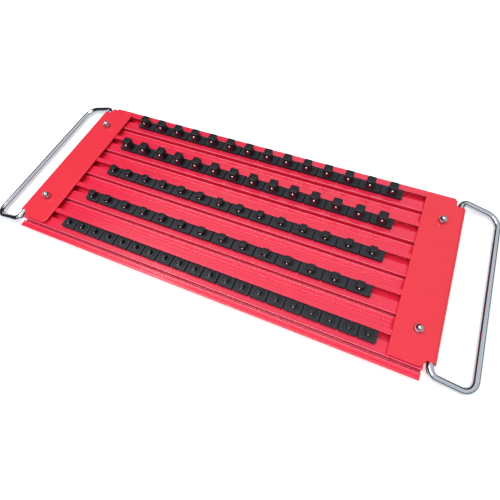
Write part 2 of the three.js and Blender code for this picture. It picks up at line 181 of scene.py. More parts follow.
class RailSizes(bpy.types.PropertyGroup):
    groove_width: length_property("Groove", "Width of the groove below the track's front", 0.0023)
    groove_depth: length_property("Groove depth", "Depth of the groove below the ledge", 0.0030)
    ridge_width: length_property("Ridge", "Width of the ridge beside the groove", 0.0018)
    ridge_height: length_property("Ridge height", "Height of the ridge above the ledge", 0.0008)
    bead_width: length_property("Bead", "Width of the bead on the track's front edge", 0.0015)
    bead_height: length_property("Bead height", "Height of the bead above the track", 0.0007)
    score_width: length_property("Score", "Width of the line scored in the front ledge", 0.0009)
    score_depth: length_property("Score depth", "Depth of the line scored in the front ledge", 0.0007)
    edge: length_property("Edge", "Rounding of the drawn edges", 0.0004)
    ledge_edge: length_property("Ledge edge", "Rounding of the front ledge's edge", 0.0012)


class PlateSizes(bpy.types.PropertyGroup):
    thickness: length_property("Sheet", "Thickness of the folded sheet", 0.0014)
    inner_corner: length_property("Small corner", "Radius of the sharper inner corner", 0.003)
    large_corner: length_property("Large corner", "Radius of the rounder inner corner", 0.008)
    outer_corner: length_property("Outer corners", "Radius of the corners beside the roll", 0.009)
    flat_outer: length_property("Flat edge", "Where the flat ends beyond the roll, from the middle", 0.2909)
    roll_half: length_property("Half roll", "Half the length of the rolled edge", 0.1132)
    roll_sweep: bpy.props.FloatProperty(
        name="Roll sweep", description="How far the edge is rolled", default=math.radians(290),
        subtype="ANGLE")
    edge: length_property("Edge", "Rounding of the sheet's cut edges", 0.0004)


class HandleSizes(bpy.types.PropertyGroup):
    rod: length_property("Rod", "Diameter of the wire rod", 0.009)
    grip_corner: length_property("Grip corner", "Bend radius beside the grip", 0.018)
    hinge_corner: length_property("Hinge corner", "Bend radius beside the roll", 0.010)
    insert: length_property("Insert", "How far each end reaches into the roll", 0.03)


class ClipSizes(bpy.types.PropertyGroup):
    pitch_wide: length_property("Wide pitch", "Clip pitch of the half inch and 3/8 inch rows", 0.03175)
    pitch_narrow: length_property("Narrow pitch", "Clip pitch of the 1/4 inch row", 0.023)
    corner: length_property("Corner", "Radius of a block's upright corners", 0.0015)
    edge: length_property("Edge", "Rounding of a block's edges", 0.0005)
    height: length_property("Block height", "Height of a block above the track", 0.0051)
    seam: length_property("Seam", "Width of the groove between two blocks", 0.0014)
    seam_depth: length_property("Seam depth", "Depth of the groove between two blocks", 0.0036)
    slope_width: length_property("Slope width", "Width of the slope behind a block's top", 0.0026)
    slope_height: length_property("Slope height", "Height of the slope behind a block's top", 0.0016)
    collar: length_property("Collar", "Diameter of the ring round a fixed post", 0.0146)
    collar_height: length_property("Collar height", "Height of the ring round a fixed post", 0.0008)
    post_corner: number_property("Post corner", "Upright edges' radius as a share of the square", 0.19)
    post_crown: number_property("Post crown", "Top edge's rounding as a share of the square", 0.08)


class FinishColours(bpy.types.PropertyGroup):
    rail: colour_property("Rail red", "Colour of the extruded rails", (0.94, 0.026, 0.080))
    plate: colour_property("Plate red", "Colour of the painted end plates", (0.95, 0.044, 0.072))
    plastic: colour_property("Clip black", "Colour of the moulded clips", (0.023, 0.025, 0.033))
    chrome: colour_property("Chrome", "Colour of the plated rods and nuts", (0.46, 0.50, 0.55))
    zinc: colour_property("Zinc", "Colour of the bars and screws", (0.58, 0.59, 0.61))


class StageSizes(bpy.types.PropertyGroup):
    lens: number_property("Lens", "Focal length on a 36 mm sensor, in millimetres", 26.608)
    world_light: number_property("World light", "Strength of the even light from all round", 0.4)
    lamp_light: bpy.props.FloatProperty(
        name="Lamp light", description="Power of the large soft lamp", default=29.5, unit="POWER")


SETTINGS = {
    "tray_rail": RailSizes,
    "tray_plate": PlateSizes,
    "tray_handle": HandleSizes,
    "tray_clip": ClipSizes,
    "tray_finish": FinishColours,
    "tray_stage": StageSizes,
}


def settings(name):
    return getattr(bpy.context.scene, name)


# Shapes worked out with numpy

def grid_faces(rows, columns, wrap):
    """Quads between neighbouring rows and columns of a grid; wrap joins the last column to the first."""
    index = np.arange(rows * columns).reshape(rows, columns)
    ahead = np.roll(index, -1, axis=1)
    last = columns if wrap else columns - 1
    quads = np.stack([index[:-1], ahead[:-1], ahead[1:], index[1:]], axis=-1)
    return quads[:, :last].reshape(-1, 4)


def mesh_from_grids(name, grids, wrap, material, capped=False):
    """One mesh from a list of point grids, each rows by columns by 3. Capped closes the first and the last
    row of each with a flat face."""
    points = [np.asarray(grid, float).reshape(-1, 3) for grid in grids]
    starts = np.cumsum([0] + [len(p) for p in points[:-1]])
    faces = [grid_faces(*grid.shape[:2], wrap) + start for grid, start in zip(grids, starts)]
    mesh = bpy.data.meshes.new(name)
    faces = np.concatenate(faces).tolist()
    if capped:
        for grid, start in zip(grids, starts):
            first = np.arange(grid.shape[1]) + start
            faces += [first[::-1].tolist(), (first + grid.shape[1] * (grid.shape[0] - 1)).tolist()]
    mesh.from_pydata(np.concatenate(points), [], faces)
    mesh.validate()
    mesh.materials.append(material)
    piece = bpy.data.objects.new(name, mesh)
    bpy.context.scene.collection.objects.link(piece)
    return piece


def weld(piece, distance=TOUCH):
    """Merges the doubled points of a piece's mesh and points its faces outwards."""
    shape = bmesh.new()
    shape.from_mesh(piece.data)
    bmesh.ops.remove_doubles(shape, verts=shape.verts, dist=distance)
    bmesh.ops.dissolve_degenerate(shape, edges=shape.edges, dist=distance)
    bmesh.ops.recalc_face_normals(shape, faces=shape.faces)
    shape.to_mesh(piece.data)
    shape.free()


def smooth(piece, angle=40):
    """Shades a piece smooth, with its folds over the angle kept sharp."""
    piece.data.polygons.foreach_set("use_smooth", np.ones(len(piece.data.polygons), bool))
    piece.data.set_sharp_from_angle(angle=math.radians(angle))


def seat(piece, body, slot, *nodes):
    """The piece rides on a body and stands for its CAD nodes, which are hidden. The slot is not used."""
    if nodes:
        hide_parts(*nodes)
    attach(piece, body)


def arc(start, stop, steps):
    """Angles in radians from start to stop, given in degrees, in even steps."""
    return np.radians(np.linspace(start, stop, steps + 1))


def rounded_rectangle(half_x, half_y, corner, steps=4):
    """Outline of a rectangle with round corners, counter-clockwise, one quarter circle to each corner."""
    angle = arc(0, 90, steps)
    quarter = np.stack([np.cos(angle), np.sin(angle)], axis=-1) * corner
    turns = [np.array([[math.cos(t), math.sin(t)], [-math.sin(t), math.cos(t)]])
             for t in np.radians([0, 90, 180, 270])]
    signs = np.array([[1, 1], [-1, 1], [-1, -1], [1, -1]])
    inset = np.array([half_x - corner, half_y - corner])
    return np.concatenate([quarter @ turn + sign * inset for turn, sign in zip(turns, signs)])


def corner_inset(distance, radius):
    """How far a quarter circle of that radius draws an edge in, at a distance from the corner's start."""
    reach = np.clip(radius - distance, 0, radius)
    return radius - np.sqrt(radius ** 2 - reach ** 2)


def filleted(corners, radius, steps=3):
    """Closed outline whose corners are cut by parabolas that start and end one radius away from each corner.
    The radius is one for all or one for each."""
    corners = np.asarray(corners, float)
    radii = np.broadcast_to(radius, len(corners))
    share = np.linspace(0, 1, steps + 1)[:, None]
    curves = []
    neighbours = np.roll(corners, 1, axis=0), corners, np.roll(corners, -1, axis=0)
    for before, corner, after, cut in zip(*neighbours, radii):
        start = corner + (before - corner) * cut / np.linalg.norm(before - corner)
        stop = corner + (after - corner) * cut / np.linalg.norm(after - corner)
        curves.append((1 - share) ** 2 * start + 2 * share * (1 - share) * corner + share ** 2 * stop)
    return np.concatenate(curves)


def clip_surface(half, section, corner, edge, steps=8):
    """Clip block: a section of Y and Z drawn along X. Towards both ends its front is drawn in along a quarter
    circle of the corner's radius, all of it along one of the edge's radius, and the ends close at their
    middle."""
    depth = corner * (1 - np.cos(arc(0, 90, steps)))
    low, high = section.min(axis=0), section.max(axis=0)
    middle, size = (low + high) / 2, high - low
    rows = []
    for inset in depth:
        outline = middle + (section - middle) * (1 - 2 * corner_inset(inset, edge) / size)
        outline[:, 0] = high[0] - (high[0] - outline[:, 0]) * (1 - corner_inset(inset, corner) / size[0])
        rows.append(outline)
    rows = [np.broadcast_to(middle, section.shape), *rows]
    places = np.concatenate([[0], depth]) - half
    rows, places = rows + rows[::-1], np.concatenate([places, -places[::-1]])
    return np.stack([np.column_stack([np.full(len(row), x), row]) for x, row in zip(places, rows)])


def block_surface(half_x, half_y, low, high, corner, crown, base=None, steps=3):
    """Closed block: round-cornered outlines stacked from the base to the top, drawn in along a quarter circle
    by the crown's radius at the top and the base's at the bottom, each end closed at its middle."""
    base = crown if base is None else base
    lower, upper = arc(0, 90, steps), arc(90, 0, steps)
    insets = np.concatenate([base * (1 - np.sin(lower)), crown * (1 - np.sin(upper))])
    heights = np.concatenate([low + base * (1 - np.cos(lower)), high - crown * (1 - np.cos(upper))])
    rows = []
    for inset, height in zip(insets, heights):
        ring = rounded_rectangle(half_x - inset, half_y - inset, max(corner - inset, corner * LEAST_CORNER))
        rows.append(np.column_stack([ring, np.full(len(ring), height)]))
    middle = np.zeros_like(rows[0])
    bottom = middle + [0, 0, low]
    top = middle + [0, 0, high]
    return np.stack([bottom, *rows, top])


def revolved(profile, sides):
    """Surface of revolution about the Z axis, from pairs of radius and height, first to last upwards."""
    radius, height = np.asarray(profile, float).T
    turn = np.linspace(0, 2 * np.pi, sides, endpoint=False)
    x = radius[:, None] * np.cos(turn)
    y = radius[:, None] * np.sin(turn)
    return np.stack([x, y, np.broadcast_to(height[:, None], x.shape)], axis=-1)


def swept_rod(centreline, normal, radius, sides=24):
    """Round rod: a circle square to the centreline, which lies in the plane of the given normal, closed at
    both ends."""
    along = np.gradient(centreline, axis=0)
    along /= np.linalg.norm(along, axis=1, keepdims=True)
    across = np.cross(normal, along)
    turn = np.linspace(0, 2 * np.pi, sides, endpoint=False)
    ring = across[:, None] * np.cos(turn)[:, None] + normal * np.sin(turn)[:, None]
    tube = centreline[:, None] + ring * radius
    ends = [np.repeat(tube[[k]].mean(axis=1, keepdims=True), sides, axis=1) for k in (0, -1)]
    return np.concatenate([ends[0], tube, ends[1]])


# Finishes

def new_material(name):
    material = bpy.data.materials.new(name)
    material.use_nodes = True
    tree = material.node_tree
    shader = tree.nodes["Principled BSDF"]
    return material, tree, shader


def object_noise(tree, scale, stretch=(1, 1, 1), detail=3.0):
    """Noise on the piece's own coordinates, stretched along its axes."""
    place = tree.nodes.new("ShaderNodeTexCoord")
    mapping = tree.nodes.new("ShaderNodeMapping")
    mapping.inputs["Scale"].default_value = stretch
    noise = tree.nodes.new("ShaderNodeTexNoise")
    noise.inputs["Scale"].default_value = scale
    noise.inputs["Detail"].default_value = detail
    tree.links.new(place.outputs["Object"], mapping.inputs["Vector"])
    tree.links.new(mapping.outputs["Vector"], noise.inputs["Vector"])
    return noise.outputs["Fac"]


def map_range(tree, value, source, target):
    """Value carried from the source's span to the target's and held inside it."""
    span = tree.nodes.new("ShaderNodeMapRange")
    for name, number in zip(("From Min", "From Max", "To Min", "To Max"), (*source, *target)):
        span.inputs[name].default_value = number
    tree.links.new(value, span.inputs["Value"])
    return span.outputs["Result"]


def tint(tree, shader, blend, factor, colour):
    """Blends a colour over the base colour, by a factor that another node gives."""
    tone = tree.nodes.new("ShaderNodeMix")
    tone.data_type = "RGBA"
    tone.blend_type = blend
    tone.inputs["B"].default_value = (*colour, 1)
    tree.links.new(factor, tone.inputs["Factor"])
    tree.links.new(shader.inputs["Base Color"].links[0].from_socket, tone.inputs["A"])
    tree.links.new(tone.outputs["Result"], shader.inputs["Base Color"])


def math_node(tree, operation, *values):
    """Math node of that operation; each value is a number or another node's output."""
    node = tree.nodes.new("ShaderNodeMath")
    node.operation = operation
    for socket, value in zip(node.inputs, values):
        if isinstance(value, float):
            socket.default_value = value
        else:
            tree.links.new(value, socket)
    return node.outputs[0]


def split(tree, output):
    """X, Y and Z of the object's coordinates or of its normal."""
    place = tree.nodes.new("ShaderNodeTexCoord")
    parts = tree.nodes.new("ShaderNodeSeparateXYZ")
    tree.links.new(place.outputs[output], parts.inputs["Vector"])
    return parts.outputs


def paint_groove_shade_and_highlight(tree, shader, share, light):
    """Paints shade and highlight on each rail from its ridge to its bead: painted shade in the groove and a
    painted highlight on its edges. Below the ledge the base colour is darkened with depth as painted shade,
    down to the share at the groove's floor. Rounded edges that face up and forward take the light colour as a
    painted highlight, by the product of the normal's Y and Z, which is nothing on flats and walls and largest
    midway. The rails stand one pitch apart, so that Y wrapped by the pitch is the distance from the nearest
    rail's middle."""
    sizes = settings("tray_rail")
    front = RAIL_TRACK_FRONT - sizes.groove_width - sizes.ridge_width
    rear = RAIL_TRACK_FRONT + sizes.edge + sizes.bead_width
    place = split(tree, "Object")
    across = math_node(tree, "WRAP", place["Y"], RAIL_PITCH / 2, -RAIL_PITCH / 2)
    inside = math_node(tree, "COMPARE", across, (front + rear) / 2, (rear - front) / 2)
    depth = map_range(tree, place["Z"], (RAIL_LEDGE_TOP, RAIL_LEDGE_TOP - sizes.groove_depth), (0, 1))
    # Painted shade: the base colour darkens with depth in the groove
    tint(tree, shader, "MULTIPLY", math_node(tree, "MULTIPLY", depth, inside), (share, share, share))
    # Painted highlight: lighter red on the rounded edges that face up and forward
    normal = split(tree, "Normal")
    product = math_node(tree, "MULTIPLY", normal["Y"], normal["Z"])
    painted_highlight_mask = map_range(tree, product, PAINTED_HIGHLIGHT_FACING, (0, 1))
    tint(tree, shader, "MIX", math_node(tree, "MULTIPLY", painted_highlight_mask, inside), light)


def vary_colour(tree, shader, colour, spread, factor):
    """Base colour that wanders a little to either side of the given one."""
    mix = tree.nodes.new("ShaderNodeMix")
    mix.data_type = "RGBA"
    mix.inputs["A"].default_value = (*(c * (1 - spread) for c in colour), 1)
    mix.inputs["B"].default_value = (*(min(1, c * (1 + spread)) for c in colour), 1)
    tree.links.new(factor, mix.inputs["Factor"])
    tree.links.new(mix.outputs["Result"], shader.inputs["Base Color"])


def vary_roughness(tree, shader, low, high, factor):
    tree.links.new(map_range(tree, factor, (0, 1), (low, high)), shader.inputs["Roughness"])


def add_bump(tree, shader, factor, strength, distance):
    bump = tree.nodes.new("ShaderNodeBump")
    bump.inputs["Strength"].default_value = strength
    bump.inputs["Distance"].default_value = distance
    tree.links.new(factor, bump.inputs["Height"])
    tree.links.new(bump.outputs["Normal"], shader.inputs["Normal"])


def rail_finish(colour):
    """Smooth red coat over extruded aluminium, with a soft gloss."""
    material, tree, shader = new_material("rail_red")
    patches = object_noise(tree, scale=12)
    vary_colour(tree, shader, colour, spread=0.02, factor=patches)
    # Painted shade in the groove and a painted highlight on its rounded edges
    paint_groove_shade_and_highlight(tree, shader, GROOVE_PAINTED_SHADE, EDGE_PAINTED_HIGHLIGHT)
    vary_roughness(tree, shader, low=0.22, high=0.26, factor=patches)
    shader.inputs["Coat Weight"].default_value = 0.35
    shader.inputs["Coat Roughness"].default_value = 0.12
    return material


def plate_finish(colour):
    """Glossy red paint with a fine orange peel."""
    material, tree, shader = new_material("plate_red")
    peel = object_noise(tree, scale=260, detail=2)
    patches = object_noise(tree, scale=18)
    vary_colour(tree, shader, colour, spread=0.03, factor=patches)
    vary_roughness(tree, shader, low=0.16, high=0.24, factor=patches)
    add_bump(tree, shader, peel, strength=0.05, distance=0.0002)
    shader.inputs["Specular IOR Level"].default_value = 0.35
    return material


def plastic_finish(name, colour, rough):
    """Moulded black plastic with a fine grain and slightly uneven gloss."""
    material, tree, shader = new_material(name)
    grain = object_noise(tree, scale=2200, detail=2)
    patches = object_noise(tree, scale=60)
    vary_colour(tree, shader, colour, spread=0.2, factor=patches)
    vary_roughness(tree, shader, low=rough, high=rough + 0.12, factor=patches)
    add_bump(tree, shader, grain, strength=0.12, distance=0.00008)
    shader.inputs["Specular IOR Level"].default_value = 0.3
    return material


def metal_finish(name, colour, rough, uneven=0.05, lay=(1, 1, 1)):
    """Plated metal with faint rubbing marks in its gloss, stretched by the lay."""
    material, tree, shader = new_material(name)
    marks = object_noise(tree, scale=300, stretch=lay)
    vary_colour(tree, shader, colour, spread=0.04, factor=marks)
    vary_roughness(tree, shader, low=rough, high=rough + uneven, factor=marks)
    add_bump(tree, shader, marks, strength=0.02, distance=0.0001)
    shader.inputs["Metallic"].default_value = 1.0
    return material


def finish(name):
    """The tray's material of that name, made the first time that it is asked for."""
    if name in bpy.data.materials and bpy.data.materials[name].get("tray"):
        return bpy.data.materials[name]
    colours = settings("tray_finish")
    makers = {
        "rail_red": lambda: rail_finish(colours.rail),
        "plate_red": lambda: plate_finish(colours.plate),
        "clip_black": lambda: plastic_finish("clip_black", colours.plastic, rough=0.5),
        "post_black": lambda: plastic_finish("post_black", Vector(colours.plastic) * POST_SHADE, rough=0.32),
        "chrome": lambda: metal_finish("chrome", colours.chrome, rough=0.05),
        "bearing_steel": lambda: metal_finish("bearing_steel", BALL_STEEL, rough=0.08),
        "zinc": lambda: metal_finish("zinc", colours.zinc, rough=0.3, uneven=0.15, lay=(0.2, 1, 1)),
    }
    material = makers[name]()
    material["tray"] = True
    return material


def dress_node(node, name):
    """Gives a CAD node that keeps its shape one of the tray's finishes."""
    mesh = frame["nodes"][node].data
    mesh.materials.clear()
    mesh.materials.append(finish(name))


# The frame's measures

def box_of(node):
    """Lowest and highest corner of a CAD node."""
    return (np.array(corner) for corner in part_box(node))


def rail_middle(row):
    """Y of the middle line of a rail, which its outline is centred on."""
    low, high = box_of(f"rail_{row}")
    return (low[1] + high[1]) / 2


def joint_place(name):
    """A hinge's point in metres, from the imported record."""
    return np.array(next(j["pos_m"] for j in frame["joints"] if j["name"] == name), float)


def run_clips(row, end, pitch):
    """Middle and width of every clip in a run: full pitches from the row's middle outwards, of which the last
    is cut short at the run's outer end."""
    low, high = box_of(f"row_{row}_clips_{end}")
    length = high[0] - low[0]
    inner, outward = (high[0], -1) if end == "left" else (low[0], 1)
    starts = np.arange(0, length - pitch / 2, pitch)
    stops = np.minimum(starts + pitch, length)
    stops[-1] = length
    return inner + outward * (starts + stops) / 2, stops - starts


# Pieces

def add_piece(name, grids, coat, body, slot, *nodes, angle):
    """Piece from grids that close round, shaded smooth but for its folds over the angle, on its body."""
    piece = mesh_from_grids(name, grids, True, finish(coat))
    weld(piece)
    smooth(piece, angle)
    seat(piece, body, slot, *nodes)


def rail_outline(sizes, half):
    """Section of a rail, counter-clockwise from the foot of its rear wall: each corner with its rounding."""
    wall, foot = RAIL_WALL, RAIL_FOOT_HALF
    wall_in = RAIL_REAR_WALL - wall
    rear_leg = RAIL_REAR_WALL - wall / 2
    under = RAIL_LEDGE_TOP - RAIL_LEDGE_THICKNESS
    web_front = RAIL_WEB_REAR - wall
    ridge_rear = RAIL_TRACK_FRONT - sizes.groove_width
    ridge_front = ridge_rear - sizes.ridge_width
    ridge_top = RAIL_LEDGE_TOP + sizes.ridge_height
    groove = RAIL_LEDGE_TOP - sizes.groove_depth
    score = (ridge_front + sizes.ledge_edge - half) / 2
    nick = sizes.score_width / 2
    bead_rear = RAIL_TRACK_FRONT + sizes.edge + sizes.bead_width
    leg_out, leg_in = RAIL_FRONT_LEG - wall / 2, RAIL_FRONT_LEG + wall / 2
    edge, fine = sizes.edge, HIDDEN_EDGE
    lip_edge, bead_edge, ridge_rear_edge, ridge_front_edge = edge * 1.5, edge * 1.8, edge * 1.6, edge * 1.4
    corners = [
        (rear_leg + foot, 0, fine), (rear_leg + foot, RAIL_FOOT_HEIGHT, fine),
        (RAIL_REAR_WALL, RAIL_FOOT_HEIGHT, fine), (RAIL_REAR_WALL, under, fine),
        (half, under, fine), (half, RAIL_LEDGE_TOP, edge), (RAIL_REAR_WALL, RAIL_LEDGE_TOP, fine),
        (RAIL_REAR_WALL, RAIL_LIP_TOP, lip_edge), (RAIL_LIP_FRONT, RAIL_LIP_TOP, lip_edge),
        (RAIL_LIP_FRONT, RAIL_LIP_TOP - wall, fine), (wall_in, RAIL_LIP_TOP - wall, fine),
        (wall_in, RAIL_SLOT_FLOOR, fine), (RAIL_WEB_REAR, RAIL_SLOT_FLOOR, fine),
        (RAIL_WEB_REAR, RAIL_TRACK_TOP - wall, fine), (RAIL_SLOT_FRONT, RAIL_TRACK_TOP - wall, fine),
        (RAIL_SLOT_FRONT, RAIL_TRACK_TOP, edge), (bead_rear, RAIL_TRACK_TOP, fine),
        (bead_rear - fine, RAIL_TRACK_TOP + sizes.bead_height, edge),
        (RAIL_TRACK_FRONT, RAIL_TRACK_TOP + sizes.bead_height, bead_edge), (RAIL_TRACK_FRONT, groove, edge),
        (ridge_rear, groove, edge), (ridge_rear, ridge_top, ridge_rear_edge),
        (ridge_front, ridge_top, ridge_front_edge),
        (ridge_front, RAIL_LEDGE_TOP, fine), (score + nick, RAIL_LEDGE_TOP, fine),
        (score, RAIL_LEDGE_TOP - sizes.score_depth, fine), (score - nick, RAIL_LEDGE_TOP, fine),
        (-half, RAIL_LEDGE_TOP, sizes.ledge_edge), (-half, under, fine), (leg_out, under, fine),
        (leg_out, RAIL_FOOT_HEIGHT, fine), (RAIL_FRONT_LEG - foot, RAIL_FOOT_HEIGHT, fine),
        (RAIL_FRONT_LEG - foot, 0, fine), (RAIL_FRONT_LEG + foot, 0, fine),
        (RAIL_FRONT_LEG + foot, RAIL_FOOT_HEIGHT, fine), (leg_in, RAIL_FOOT_HEIGHT, fine),
        (leg_in, groove - wall, fine), (RAIL_TRACK_FRONT + wall, groove - wall, fine),
        (RAIL_TRACK_FRONT + wall, RAIL_TRACK_TOP - wall, fine), (web_front, RAIL_TRACK_TOP - wall, fine),
        (web_front, RAIL_SLOT_FLOOR - wall, fine), (wall_in, RAIL_SLOT_FLOOR - wall, fine),
        (wall_in, RAIL_FOOT_HEIGHT, fine), (rear_leg - foot, RAIL_FOOT_HEIGHT, fine),
        (rear_leg - foot, 0, fine),
    ]
    corners = np.array(corners)
    return filleted(corners[:, :2], corners[:, 2], RAIL_CORNER_STEPS)


def notched(outline, notch_top):
    """The section where a cross bar passes: all that is below the notch is lifted to it, and the feet's width
    is drawn in to the legs."""
    cut = outline.copy()
    low = cut[:, 1] < notch_top
    half = RAIL_WALL / 2
    for leg in (RAIL_FRONT_LEG, RAIL_REAR_WALL - half):
        near = low & (np.abs(cut[:, 0] - leg) <= RAIL_FOOT_HALF + TOUCH)
        cut[near, 0] = leg + np.clip(cut[near, 0] - leg, -half, half)
    cut[low, 1] = notch_top
    return cut


def rail_sections(outline, half, length, bar, screw_edge):
    """Sections along a rail with their places: whole, notched across each bar, and with the ledge's edge
    drawn in round each screw by half the chord of its hole."""
    notch = notched(outline, bar["top"] + NOTCH_CLEARANCE)
    notch_half = bar["half"] + NOTCH_CLEARANCE
    chords = SCREW_HOLE * np.cos(arc(180, 0, HOLE_STEPS))
    rows = []
    for side in (-1, 1):
        for across in chords:
            reach = math.sqrt(max(0, SCREW_HOLE ** 2 - across ** 2))
            row = notch.copy()
            if screw_edge > 0:
                row[:, 0] = np.minimum(row[:, 0], half - reach)
            elif screw_edge < 0:
                row[:, 0] = np.maximum(row[:, 0], reach - half)
            rows.append((side * bar["x"] + across, row))
        for step in (-notch_half, notch_half):
            rows += [(side * bar["x"] + step, notch), (side * bar["x"] + step * JUST_BEYOND, outline)]
    rows += [(-length, outline), (length, outline)]
    return sorted(rows, key=lambda row: row[0])


class TRAY_OT_rails(bpy.types.Operator):
    """Draws and coats the five extruded rails"""
    bl_idname = "tray.rails"
    bl_label = "Rails"

    def execute(self, context):
        low, high = box_of("clamp_bar_right")
        bar = {"x": (low[0] + high[0]) / 2, "half": (high[0] - low[0]) / 2, "top": high[2]}
        for row, screw_edge in enumerate(SCREW_EDGES, 1):
            self.draw_rail(settings("tray_rail"), row, bar, screw_edge)
        return {"FINISHED"}

    @staticmethod
    def draw_rail(sizes, row, bar, screw_edge):
        """One rail: its section carried along X through the notches and round the screws, both ends closed
        flat."""
        low, high = box_of(f"rail_{row}")
        half = (high[1] - low[1]) / 2
        outline = rail_outline(sizes, half)
        rows = rail_sections(outline, half, high[0], bar, screw_edge)
        grid = np.stack([np.column_stack([np.full(len(section), x), section]) for x, section in rows])
        grid += [0, rail_middle(row), 0]
        piece = mesh_from_grids(f"extrusion_{row}", [grid], True, finish("rail_red"), capped=True)
        weld(piece, CLOSE)
        smooth(piece, angle=30)
        even = piece.modifiers.new("flats", "WEIGHTED_NORMAL")
        even.keep_sharp = True
        seat(piece, "frame", "rail_red", f"rail_{row}")


def plate_grids(sizes, low, high, axis):
    """Top face of the right plate: a flat whose sides are drawn in at the corners by quarter circles, and the
    roll, an arc about the handle's axis, which starts level with the flat and turns outwards and under."""
    front, rear = low[1], high[1]
    ends = sizes.roll_half - rear
    toes = rear + ends * (1 - np.cos(arc(0, 90, steps=10)))
    middle = np.linspace(-sizes.roll_half, sizes.roll_half, PLATE_ROWS)
    y = np.concatenate([-toes[:-1], middle, toes[::-1][1:]])
    from_front, from_rear = y - front, rear - y
    drawn_in = corner_inset(from_front, sizes.inner_corner) + corner_inset(from_rear, sizes.large_corner)
    inner = low[0] + drawn_in
    outer = sizes.flat_outer - corner_inset(np.minimum(from_front, from_rear), sizes.outer_corner)
    outer = np.where(np.abs(y) <= sizes.roll_half + TOUCH, sizes.flat_outer, outer)
    share = np.linspace(0, 1, PLATE_COLUMNS)[:, None]
    flat_x = inner + (outer - inner) * share
    flat = np.stack([flat_x, np.broadcast_to(y, flat_x.shape), np.full(flat_x.shape, high[2])], axis=-1)
    turn = np.pi / 2 - np.linspace(0, sizes.roll_sweep, ROLL_POINTS)
    radius = high[2] - axis[2]
    neck_x = np.linspace(sizes.flat_outer, axis[0], NECK_POINTS)[:-1]
    roll_x = np.concatenate([neck_x, axis[0] + radius * np.cos(turn)])
    roll_z = np.concatenate([np.full(len(neck_x), high[2]), axis[2] + radius * np.sin(turn)])
    shape = (len(roll_x), len(middle))
    roll = np.stack([
        np.broadcast_to(roll_x[:, None], shape),
        np.broadcast_to(middle, shape),
        np.broadcast_to(roll_z[:, None], shape),
    ], axis=-1)
    return [flat, roll]


class TRAY_OT_end_plates(bpy.types.Operator):
    """Folds the two painted end plates and rolls their outer edges"""
    bl_idname = "tray.end_plates"
    bl_label = "End plates"

    def execute(self, context):
        sizes = settings("tray_plate")
        low, high = box_of("end_plate_right")
        grids = plate_grids(sizes, low, high, joint_place("handle_right_hinge"))
        for end, turn in zip(ENDS, (1, HALF_TURN)):
            sheet = [grid * turn for grid in grids]
            piece = mesh_from_grids(f"sheet_{end}", sheet, False, finish("plate_red"))
            weld(piece)
            self.face_up(piece)
            wall = piece.modifiers.new("sheet", "SOLIDIFY")
            wall.thickness = sizes.thickness
            wall.offset = -1
            wall.use_even_offset = True
            edge = piece.modifiers.new("edge", "BEVEL")
            edge.width = sizes.edge
            edge.segments = 2
            edge.limit_method = "ANGLE"
            edge.angle_limit = math.radians(60)
            smooth(piece)
            seat(piece, "frame", "plate_red", f"end_plate_{end}")
        return {"FINISHED"}

    @staticmethod
    def face_up(piece):
        """Turns an open sheet over where its flat faces down."""
        mesh = piece.data
        largest = max(mesh.polygons, key=lambda polygon: polygon.area)
        if largest.normal.z < 0:
            mesh.flip_normals()


def bail_centreline(sizes, low, high, axis):
    """Middle of the right handle's rod, in its own plane: into the roll, out along the arm, across the grip
    and back, each bend a quarter circle. Returned with the plane's normal."""
    radius = sizes.rod / 2
    middle_y = (low[1] + high[1]) / 2
    half = (high[1] - low[1]) / 2 - radius
    grip = np.array([high[0] - radius, 0, low[2] + radius])
    arm = grip - axis * [1, 0, 1]
    reach = np.linalg.norm(arm)
    arm = arm / reach
    end = settings("tray_plate").roll_half - sizes.insert
    bend = sizes.hinge_corner
    turn = sizes.grip_corner
    quarter = arc(180, 90, steps=12)
    first = np.column_stack([bend + bend * np.cos(quarter), half - bend + bend * np.sin(quarter)])
    quarter = arc(90, 0, steps=16)
    second = np.column_stack([reach - turn + turn * np.cos(quarter), half - turn + turn * np.sin(quarter)])
    straight_y = np.linspace(end, half - bend, 4)[:-1]
    straight = np.column_stack([np.zeros_like(straight_y), straight_y])
    side = np.concatenate([straight, first, second])
    path = np.concatenate([side, side[::-1] * [1, -1]])
    line = axis * [1, 0, 1] + path[:, :1] * arm + path[:, 1:] * [0, 1, 0] + [0, middle_y, 0]
    return line, np.cross(arm, [0, 1, 0])


class TRAY_OT_handles(bpy.types.Operator):
    """Bends the two plated wire handles"""
    bl_idname = "tray.handles"
    bl_label = "Handles"

    def execute(self, context):
        sizes = settings("tray_handle")
        low, high = box_of("handle_right")
        line, normal = bail_centreline(sizes, low, high, joint_place("handle_right_hinge"))
        rod = swept_rod(line, normal, sizes.rod / 2)
        for end, turn in zip(ENDS, (1, HALF_TURN)):
            node = f"handle_{end}"
            add_piece(f"bail_{end}", [rod * turn], "chrome", node, "handle_chrome", node, angle=60)
        return {"FINISHED"}


def dome_nut_surface(flats, hex_height, height, sides=72):
    """Dome nut: at each turn about its axis the radius is the lesser of the hexagon's and of a turned
    envelope, which chamfers the hexagon's corners and ends in the dome."""
    across_corners = flats / math.sqrt(3)
    chamfer = 0.06 * flats
    dome = 0.47 * flats
    angle = arc(0, 90, steps=12)
    envelope = [
        (0, 0), (dome, 0), (across_corners, chamfer), (across_corners, hex_height - chamfer),
        (0.5 * flats, hex_height), (dome, hex_height),
    ]
    envelope += [(dome * math.cos(a), hex_height + (height - hex_height) * math.sin(a)) for a in angle]
    surface = revolved(envelope, sides)
    turn = np.linspace(0, 2 * np.pi, sides, endpoint=False)
    hexagon = flats / 2 / np.cos((turn + np.pi / 6) % (np.pi / 3) - np.pi / 6)
    radius = np.linalg.norm(surface[..., :2], axis=-1)
    share = np.minimum(1, hexagon / np.maximum(radius, TOUCH))
    surface[..., :2] *= share[..., None]
    return surface


